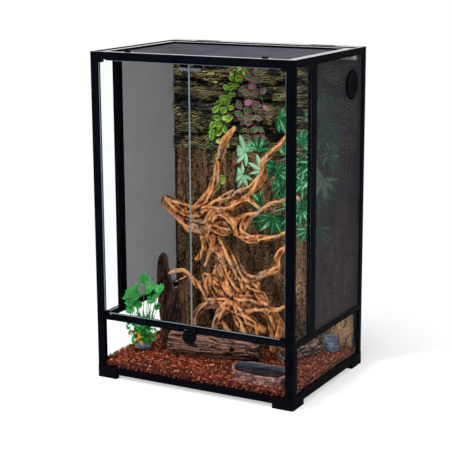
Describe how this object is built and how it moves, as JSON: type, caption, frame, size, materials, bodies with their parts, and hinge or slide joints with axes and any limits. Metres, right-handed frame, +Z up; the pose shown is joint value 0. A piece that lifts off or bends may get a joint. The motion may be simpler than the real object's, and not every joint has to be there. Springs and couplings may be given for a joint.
{
  "type": "reptile terrarium",
  "caption": "Tall glass terrarium with black profile frame, paired front doors, mesh sides, hinged screen lid, side hose port, rock and cork back wall, driftwood and plants",
  "frame": {"origin": "On the surface the feet stand on, under the middle of the whole piece", "axes": "+X to the right of a viewer facing the doors, +Y to the back wall, +Z up"},
  "size_m": [0.61, 0.4696, 0.9165],
  "materials": {
    "frame": "satin black extruded profiles",
    "hardware_plastic": "black moulded plastic",
    "pane": "clear glass with green edges",
    "steel": "bare steel",
    "mesh": "dark woven wire mesh",
    "pan_plastic": "black moulded plastic pan",
    "rock": "painted rigid foam with rock relief",
    "cork": "rough cork bark",
    "mulch": "loose bark chips",
    "driftwood": "dry root wood",
    "bark": "dark bark",
    "log": "weathered log",
    "slate": "split blue-grey stone",
    "dish": "matt dark ceramic",
    "water": "still clear water",
    "foliage": "moulded and silk leaves"
  },
  "bodies": {
    "frame": {"foot_front_left": "hardware_plastic", "foot_front_right": "hardware_plastic", "foot_rear_left": "hardware_plastic", "foot_rear_right": "hardware_plastic", "post_front_left": "frame", "post_front_right": "frame", "post_rear_left": "frame", "post_rear_right": "frame", "top_corners": "frame", "corner_screws": "steel", "bottom_rail_front": "frame", "bottom_rail_rear": "frame", "bottom_rails_side": "frame", "middle_rail_front": "frame", "middle_rails_side": "frame", "side_mullions": "frame", "top_rail_front": "frame", "top_rail_rear": "frame", "top_rails_side": "frame", "base_pan": "pan_plastic", "lower_glass_front": "pane", "lower_glass_sides": "pane", "side_glass_strips": "pane", "rear_glass": "pane", "side_mesh_left": "mesh", "side_mesh_right": "mesh", "port_ring": "hardware_plastic", "port_clamp_ring": "hardware_plastic", "magnet_holders": "hardware_plastic", "latch_housing": "hardware_plastic", "latch_screws": "steel", "rock_panel": "rock", "cork_panels": "cork", "bark_floor": "mulch", "driftwood": "driftwood", "bark_slab": "bark", "ribbed_log": "log", "grey_log": "log", "slate": "slate", "water_dish": "dish", "water": "water", "pot_plant": "foliage", "hanging_vine": "foliage", "broadleaf_vine": "foliage"},
    "left_door": {"door_glass_left": "pane", "door_hinges_left": "hardware_plastic", "door_strike_left": "steel"},
    "right_door": {"door_glass_right": "pane", "door_hinges_right": "hardware_plastic", "door_strike_right": "steel"},
    "lid": {"lid_frame": "frame", "lid_mesh": "mesh", "lid_pins": "steel"},
    "clip_left": {"lid_clip_left": "hardware_plastic"},
    "clip_right": {"lid_clip_right": "hardware_plastic"},
    "latch": {"latch_bolt": "steel", "latch_knob": "hardware_plastic"},
    "shutter_left": {"inlet_shutter_left": "hardware_plastic"},
    "shutter_right": {"inlet_shutter_right": "hardware_plastic"},
    "port_cap": {"port_cover": "hardware_plastic"}
  },
  "joints": [
    {"name": "left_door_hinge", "type": "hinge", "parent": "frame", "child": "left_door", "pos_m": [-0.2748, -0.21675, 0.54], "axis": [0, 0, -1], "range_deg": [0, 105]},
    {"name": "right_door_hinge", "type": "hinge", "parent": "frame", "child": "right_door", "pos_m": [0.2748, -0.21675, 0.54], "axis": [0, 0, 1], "range_deg": [0, 105]},
    {"name": "lid_hinge", "type": "hinge", "parent": "frame", "child": "lid", "pos_m": [0, 0.18925, 0.9083], "axis": [-1, 0, 0], "range_deg": [0, 80]},
    {"name": "lid_clip_left_turn", "type": "hinge", "parent": "lid", "child": "clip_left", "pos_m": [-0.205, -0.18825, 0.9], "axis": [0, 0, -1], "range_deg": [0, 90]},
    {"name": "lid_clip_right_turn", "type": "hinge", "parent": "lid", "child": "clip_right", "pos_m": [0.205, -0.18825, 0.9], "axis": [0, 0, 1], "range_deg": [0, 90]},
    {"name": "latch_slide", "type": "slide", "parent": "frame", "child": "latch", "axis": [0, 0, 1], "range_m": [0, 0.009]},
    {"name": "shutter_left_slide", "type": "slide", "parent": "frame", "child": "shutter_left", "axis": [1, 0, 0], "range_m": [0, 0.034]},
    {"name": "shutter_right_slide", "type": "slide", "parent": "frame", "child": "shutter_right", "axis": [-1, 0, 0], "range_m": [0, 0.034]},
    {"name": "port_cover_pull", "type": "slide", "parent": "frame", "child": "port_cap", "axis": [1, 0, 0], "range_m": [0, 0.02]}
  ]
}
